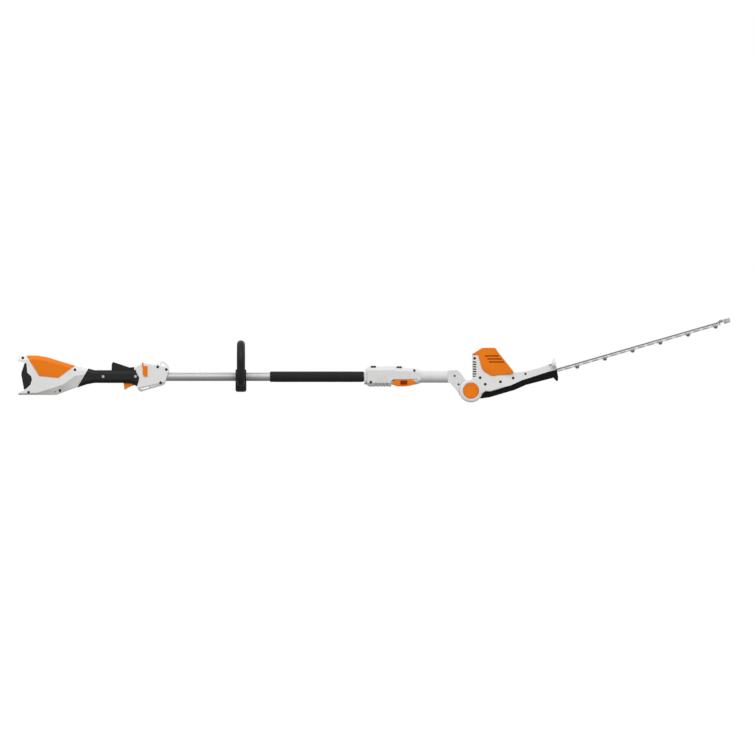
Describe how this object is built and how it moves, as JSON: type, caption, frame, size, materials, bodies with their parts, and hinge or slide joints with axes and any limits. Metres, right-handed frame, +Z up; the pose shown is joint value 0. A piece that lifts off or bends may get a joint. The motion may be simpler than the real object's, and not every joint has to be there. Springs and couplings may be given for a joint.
{
  "type": "pole hedge trimmer",
  "caption": "Cordless long-reach hedge trimmer with a tilting double-sided blade head, a separable aluminium shaft, loop handle, foam sleeve and rear control handle",
  "frame": {"origin": "on the shaft's axis at the middle of the loop handle, where the tool is held", "axes": "+X along the shaft towards the blade tip, +Z up in use, -Y is the user's right"},
  "size_m": [2.0855, 0.1706, 0.248],
  "materials": {
    "white_plastic": "satin moulded",
    "orange_plastic": "satin moulded",
    "grey_plastic": "satin moulded",
    "black_plastic": "fine grain",
    "red_plastic": "fine grain",
    "foam": "closed-cell foam",
    "cable_rubber": "matte",
    "aluminium": "satin anodised",
    "silver_paint": "light grey powder coat",
    "black_screw": "black oxide",
    "grey_screw": "grey coated",
    "bright_steel": "zinc plated",
    "motor_paint": "satin black",
    "blade_steel": "ground and nickel plated",
    "bar_steel": "dull rolled",
    "tip_metal": "cast",
    "brass": "bright",
    "board": "solder mask"
  },
  "bodies": {
    "pole": {"battery_housing_right": "white_plastic", "battery_housing_left": "white_plastic", "battery_cover": "orange_plastic", "battery_guide": "black_plastic", "contact_block": "black_plastic", "contact_blades": "brass", "control_board": "board", "grip_right": "black_plastic", "grip_left": "black_plastic", "grip_screws": "bright_steel", "trigger_switch": "black_plastic", "front_housing_right": "white_plastic", "front_housing_left": "white_plastic", "strap_eyelet": "grey_plastic", "rear_tube": "aluminium", "power_cable": "cable_rubber", "loop_handle": "black_plastic", "loop_clamp": "black_plastic", "loop_screws": "bright_steel", "foam_sleeve": "foam", "coupling_right": "grey_plastic", "coupling_left": "grey_plastic", "coupling_pads": "black_plastic", "coupling_socket": "black_plastic", "housing_screws": "black_screw", "hinge_pins": "bright_steel", "return_springs": "bright_steel"},
    "latch_right": {"latch_right": "black_plastic"},
    "latch_left": {"latch_left": "black_plastic"},
    "trigger": {"trigger": "orange_plastic"},
    "lockout_lever": {"lockout_lever": "black_plastic"},
    "release_slide": {"release_slide": "orange_plastic"},
    "clamp_lever": {"clamp_lever": "orange_plastic"},
    "lever_lock": {"lever_lock": "red_plastic"},
    "front_shaft": {"front_collar": "grey_plastic", "spigot_tube": "aluminium", "shaft_lead": "cable_rubber", "front_tube": "silver_paint", "neck_right": "grey_plastic", "neck_left": "grey_plastic", "shaft_screws": "grey_screw"},
    "tilt_button": {"tilt_button": "orange_plastic"},
    "head": {"gear_housing_right": "white_plastic", "gear_housing_left": "white_plastic", "motor_cover": "orange_plastic", "air_grille": "black_plastic", "motor_can": "motor_paint", "crank_axle": "bright_steel", "head_screws": "black_screw", "arm_screw": "grey_screw", "bumper": "black_plastic", "hand_guard": "grey_plastic", "guide_bar": "bar_steel", "bar_bolts": "bar_steel", "guard_bolt": "grey_screw", "pivot_axle": "bright_steel", "pivot_cap": "orange_plastic", "tip_guard": "tip_metal", "tip_rivet": "grey_screw"},
    "rotor": {"rotor": "bright_steel"},
    "crank_gear": {"crank_gear": "bright_steel"},
    "blade_upper": {"blade_upper": "blade_steel"},
    "blade_lower": {"blade_lower": "blade_steel"}
  },
  "joints": [
    {"name": "trigger_pull", "type": "hinge", "parent": "pole", "child": "trigger", "pos_m": [-0.316, 0, -0.0105], "axis": [0, 1, 0], "range_deg": [0, 10], "stiffness_Nm_per_rad": 0.3, "springref_deg": -20.05},
    {"name": "lockout_press", "type": "hinge", "parent": "pole", "child": "lockout_lever", "pos_m": [-0.319, 0, 0.014], "axis": [0, -1, 0], "range_deg": [0, 6], "stiffness_Nm_per_rad": 0.6, "springref_deg": -20.05},
    {"name": "release_push", "type": "slide", "parent": "pole", "child": "release_slide", "axis": [1, 0, 0], "range_m": [0, 0.006], "stiffness_N_per_m": 300, "springref_m": -0.004},
    {"name": "latch_right_press", "type": "hinge", "parent": "pole", "child": "latch_right", "pos_m": [-0.606, -0.0384, -0.005], "axis": [0, 0, -1], "range_deg": [0, 4], "stiffness_Nm_per_rad": 0.4, "springref_deg": -17.19},
    {"name": "latch_left_press", "type": "hinge", "parent": "pole", "child": "latch_left", "pos_m": [-0.606, 0.0384, -0.005], "axis": [0, 0, 1], "range_deg": [0, 4], "stiffness_Nm_per_rad": 0.4, "springref_deg": -17.19},
    {"name": "clamp_lever_open", "type": "hinge", "parent": "pole", "child": "clamp_lever", "pos_m": [0.449, 0, -0.0184], "axis": [0, 1, 0], "range_deg": [0, 60]},
    {"name": "lever_lock_slide", "type": "slide", "parent": "clamp_lever", "child": "lever_lock", "axis": [1, 0, 0], "range_m": [0, 0.004], "stiffness_N_per_m": 150, "springref_m": -0.003},
    {"name": "shaft_pullout", "type": "slide", "parent": "pole", "child": "front_shaft", "axis": [1, 0, 0], "range_m": [0, 0.09]},
    {"name": "tilt_button_press", "type": "slide", "parent": "head", "child": "tilt_button", "axis": [0, 1, 0], "range_m": [0, 0.004], "stiffness_N_per_m": 800, "springref_m": -0.003},
    {"name": "head_tilt", "type": "hinge", "parent": "front_shaft", "child": "head", "pos_m": [0.6737, 0, -0.0405], "axis": [0, -1, 0], "range_deg": [-106, 29]},
    {"name": "crank_spin", "type": "hinge", "parent": "head", "child": "crank_gear", "pos_m": [0.77059, 0, -0.00837], "axis": [-0.2773, 0, 0.9608], "continuous": true},
    {"name": "rotor_spin", "type": "hinge", "parent": "head", "child": "rotor", "pos_m": [0.73422, 0, 0.03109], "axis": [-0.2773, 0, 0.9608], "continuous": true},
    {"name": "blade_upper_stroke", "type": "slide", "parent": "head", "child": "blade_upper", "axis": [0.9608, 0, 0.2773], "range_m": [-0.007, 0.007]},
    {"name": "blade_lower_stroke", "type": "slide", "parent": "head", "child": "blade_lower", "axis": [0.9608, 0, 0.2773], "range_m": [-0.007, 0.007]}
  ],
  "couplings": [
    {"joint": "rotor_spin", "follows": "crank_spin", "ratio": -4},
    {"joint": "blade_lower_stroke", "follows": "blade_upper_stroke", "ratio": -1}
  ]
}
